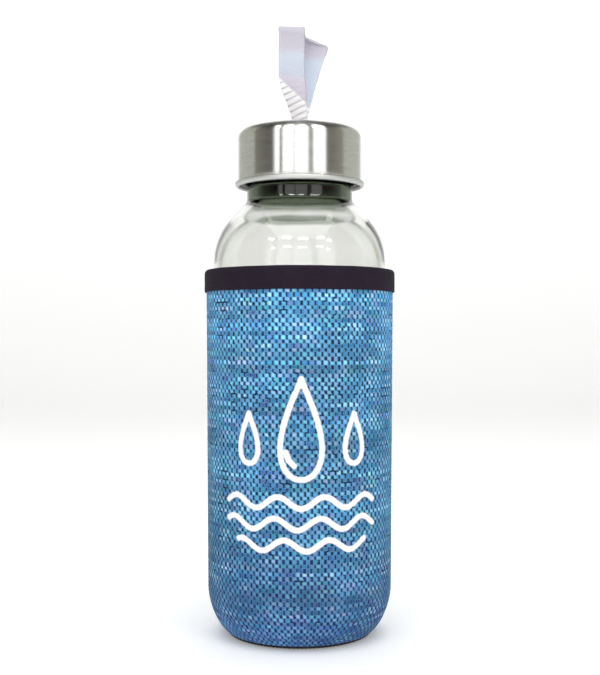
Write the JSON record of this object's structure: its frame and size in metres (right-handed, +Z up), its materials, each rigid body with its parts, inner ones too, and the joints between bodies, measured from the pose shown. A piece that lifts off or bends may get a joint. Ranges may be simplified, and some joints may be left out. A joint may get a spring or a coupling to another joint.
{
  "type": "glass water bottle",
  "caption": "Round-shouldered glass water bottle with a brushed steel screw lid, a ribbon carrying loop and a padded woven sleeve.",
  "frame": {"origin": "centre of the sleeve's flat base, on the table", "axes": "+Z up along the bottle's axis, -Y towards the front of the sleeve, +X to the right seen from the front"},
  "size_m": [0.0672, 0.0672, 0.213],
  "materials": {
    "glass": "clear polished",
    "steel": "brushed round the lid, satin",
    "liner": "moulded, matt",
    "seal": "silicone, matt",
    "eyelet": "bright rolled steel",
    "ribbon": "ribbed ribbon with a slight sheen",
    "cloth": "coarse plain weave of mixed blue threads",
    "lining": "foam with a knitted face",
    "binding": "close-woven black tape",
    "base": "foam-backed cloth, matt"
  },
  "bodies": {
    "sleeve": {"sleeve_cloth": "cloth", "sleeve_lining": "lining", "sleeve_binding": "binding", "sleeve_base": "base", "sleeve_base_edging": "binding"},
    "bottle": {"glass_bottle": "glass"},
    "seal": {"lid_seal": "seal"},
    "lid": {"lid_shell": "steel", "lid_liner": "liner", "lid_eyelet": "eyelet", "lid_washer": "eyelet"},
    "strap_stem": {"strap_stem": "ribbon", "strap_crimp": "eyelet"},
    "strap": {"strap_loop": "ribbon"}
  },
  "joints": [
    {"name": "bottle_slide", "type": "slide", "parent": "sleeve", "child": "bottle", "axis": [0, 0, 1], "range_m": [0, 0.13]},
    {"name": "lid_rise", "type": "slide", "parent": "bottle", "child": "seal", "axis": [0, 0, 1], "range_m": [0, 0.0211]},
    {"name": "lid_turn", "type": "hinge", "parent": "seal", "child": "lid", "pos_m": [0, 0, 0.165], "axis": [0, 0, 1], "range_deg": [0, 1800]},
    {"name": "strap_swivel", "type": "hinge", "parent": "lid", "child": "strap_stem", "pos_m": [0, 0, 0.1767], "axis": [0, 0, 1], "continuous": true},
    {"name": "strap_fold", "type": "hinge", "parent": "strap_stem", "child": "strap", "pos_m": [0, 0, 0.1785], "axis": [1, 0, 0], "range_deg": [-60, 60], "stiffness_Nm_per_rad": 0.002}
  ],
  "couplings": [
    {"joint": "lid_rise", "follows": "lid_turn", "m_per_rad": 0.00066845}
  ]
}
